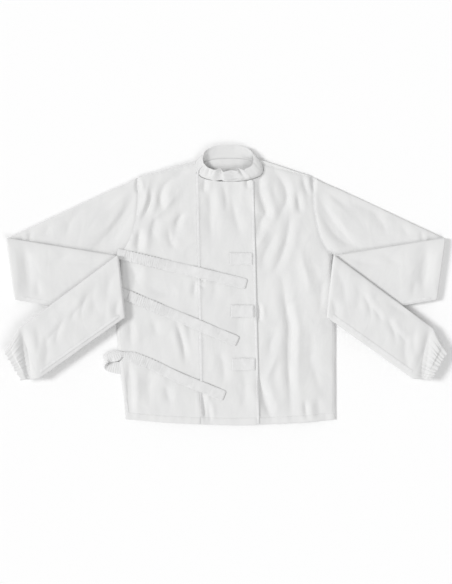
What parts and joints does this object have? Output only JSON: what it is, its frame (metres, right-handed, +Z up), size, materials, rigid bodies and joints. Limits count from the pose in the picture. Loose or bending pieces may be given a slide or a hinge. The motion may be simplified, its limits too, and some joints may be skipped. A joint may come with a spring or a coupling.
{
  "type": "beekeeping jacket",
  "caption": "White cotton pull-round jacket laid flat, with a stand collar, wrap-over front flap, side straps with fastening tabs, and long elastic-cuffed sleeves folded in three.",
  "frame": {"origin": "on the outer face of the back panel, where the jacket rests, half way along its length and on the line midway between the shoulder tips", "axes": "+X to the wearer's left, +Y towards the collar, +Z up from the surface that the back lies on"},
  "size_m": [1.2202, 0.77, 0.045],
  "materials": {
    "cotton_canvas": "matt woven cotton, white",
    "seam_tape": "felled seams and bindings of the same white cotton",
    "tab_cloth": "doubled and edge-stitched white cotton",
    "elastic": "white elastic in a gathered casing",
    "hook_tape": "short white nylon hooks"
  },
  "bodies": {
    "root": {"back_panel": "cotton_canvas", "back_hem": "cotton_canvas", "right_front_panel": "cotton_canvas", "right_front_hem": "cotton_canvas", "front_underlap": "cotton_canvas", "left_front_panel": "cotton_canvas", "left_front_hem": "cotton_canvas", "right_side_seam": "seam_tape", "left_side_seam": "seam_tape", "right_shoulder_seam": "seam_tape", "left_shoulder_seam": "seam_tape", "right_armhole_seam": "seam_tape", "left_armhole_seam": "seam_tape", "flap_seam_welt": "seam_tape", "collar_back": "cotton_canvas", "collar_underlap": "cotton_canvas", "upper_strap_root": "cotton_canvas", "middle_strap_root": "cotton_canvas", "lower_strap_root": "cotton_canvas", "right_sleeve_upper_front": "cotton_canvas", "right_sleeve_upper_back": "cotton_canvas", "right_sleeve_upper_seam": "seam_tape", "left_sleeve_upper_front": "cotton_canvas", "left_sleeve_upper_back": "cotton_canvas", "left_sleeve_upper_seam": "seam_tape"},
    "flap": {"front_flap": "cotton_canvas", "flap_hem": "cotton_canvas", "flap_edge_binding": "seam_tape", "upper_tab": "tab_cloth", "middle_tab": "tab_cloth", "lower_tab": "tab_cloth", "collar_front": "cotton_canvas", "collar_closure_tab": "tab_cloth"},
    "upper_strap": {"upper_strap_elastic": "elastic"},
    "upper_strap_end": {"upper_strap_tongue": "cotton_canvas", "upper_strap_hook_pad": "hook_tape"},
    "middle_strap": {"middle_strap_elastic": "elastic"},
    "middle_strap_end": {"middle_strap_tongue": "cotton_canvas", "middle_strap_hook_pad": "hook_tape"},
    "lower_strap": {"lower_strap_elastic": "elastic"},
    "lower_strap_end": {"lower_strap_tongue": "cotton_canvas", "lower_strap_hook_pad": "hook_tape"},
    "right_sleeve_middle": {"right_sleeve_middle_front": "cotton_canvas", "right_sleeve_middle_back": "cotton_canvas", "right_sleeve_middle_seam": "seam_tape"},
    "right_forearm": {"right_sleeve_forearm_front": "cotton_canvas", "right_sleeve_forearm_back": "cotton_canvas", "right_sleeve_forearm_seam": "seam_tape", "right_cuff": "cotton_canvas", "right_cuff_elastic": "elastic"},
    "left_sleeve_middle": {"left_sleeve_middle_front": "cotton_canvas", "left_sleeve_middle_back": "cotton_canvas", "left_sleeve_middle_seam": "seam_tape"},
    "left_forearm": {"left_sleeve_forearm_front": "cotton_canvas", "left_sleeve_forearm_back": "cotton_canvas", "left_sleeve_forearm_seam": "seam_tape", "left_cuff": "cotton_canvas", "left_cuff_elastic": "elastic"}
  },
  "joints": [
    {"name": "right_sleeve_outer_fold", "type": "hinge", "parent": "root", "child": "right_sleeve_middle", "pos_m": [-0.5883, 0.04417, 0.0105], "axis": [0.1392, -0.9903, 0], "range_deg": [0, 178]},
    {"name": "right_sleeve_inner_fold", "type": "hinge", "parent": "right_sleeve_middle", "child": "right_forearm", "pos_m": [-0.28203, -0.00516, 0.022], "axis": [0.1392, -0.9903, 0], "range_deg": [-178, 0]},
    {"name": "left_sleeve_outer_fold", "type": "hinge", "parent": "root", "child": "left_sleeve_middle", "pos_m": [0.5883, 0.04417, 0.0105], "axis": [0.1392, 0.9903, 0], "range_deg": [0, 178]},
    {"name": "left_sleeve_inner_fold", "type": "hinge", "parent": "left_sleeve_middle", "child": "left_forearm", "pos_m": [0.28203, -0.00516, 0.022], "axis": [0.1392, 0.9903, 0], "range_deg": [-178, 0]},
    {"name": "flap_turn", "type": "hinge", "parent": "root", "child": "flap", "pos_m": [0.07901, 0, 0.012], "axis": [-0.0238, 0.9997, 0], "range_deg": [0, 110]},
    {"name": "upper_strap_lift", "type": "hinge", "parent": "root", "child": "upper_strap", "pos_m": [-0.27917, 0.082, 0.0131], "axis": [-0.23, -0.9732, 0], "range_deg": [0, 96]},
    {"name": "upper_strap_peel", "type": "hinge", "parent": "upper_strap", "child": "upper_strap_end", "pos_m": [-0.16725, 0.05554, 0.0154], "axis": [-0.23, -0.9732, 0], "range_deg": [0, 75]},
    {"name": "middle_strap_lift", "type": "hinge", "parent": "root", "child": "middle_strap", "pos_m": [-0.26637, -0.03, 0.0131], "axis": [-0.3875, -0.9219, 0], "range_deg": [0, 96]},
    {"name": "middle_strap_peel", "type": "hinge", "parent": "middle_strap", "child": "middle_strap_end", "pos_m": [-0.16036, -0.07456, 0.0154], "axis": [-0.3875, -0.9219, 0], "range_deg": [0, 75]},
    {"name": "lower_strap_lift", "type": "hinge", "parent": "root", "child": "lower_strap", "pos_m": [-0.29051, -0.19, 0.0131], "axis": [-0.373, -0.9278, 0], "range_deg": [0, 96]},
    {"name": "lower_strap_peel", "type": "hinge", "parent": "lower_strap", "child": "lower_strap_end", "pos_m": [-0.18381, -0.23289, 0.0154], "axis": [-0.373, -0.9278, 0], "range_deg": [0, 75]}
  ],
  "couplings": [
    {"joint": "right_sleeve_inner_fold", "follows": "right_sleeve_outer_fold", "ratio": -1},
    {"joint": "left_sleeve_inner_fold", "follows": "left_sleeve_outer_fold", "ratio": -1},
    {"joint": "upper_strap_lift", "follows": "flap_turn", "ratio": 0.87},
    {"joint": "middle_strap_lift", "follows": "flap_turn", "ratio": 0.87},
    {"joint": "lower_strap_lift", "follows": "flap_turn", "ratio": 0.87}
  ]
}
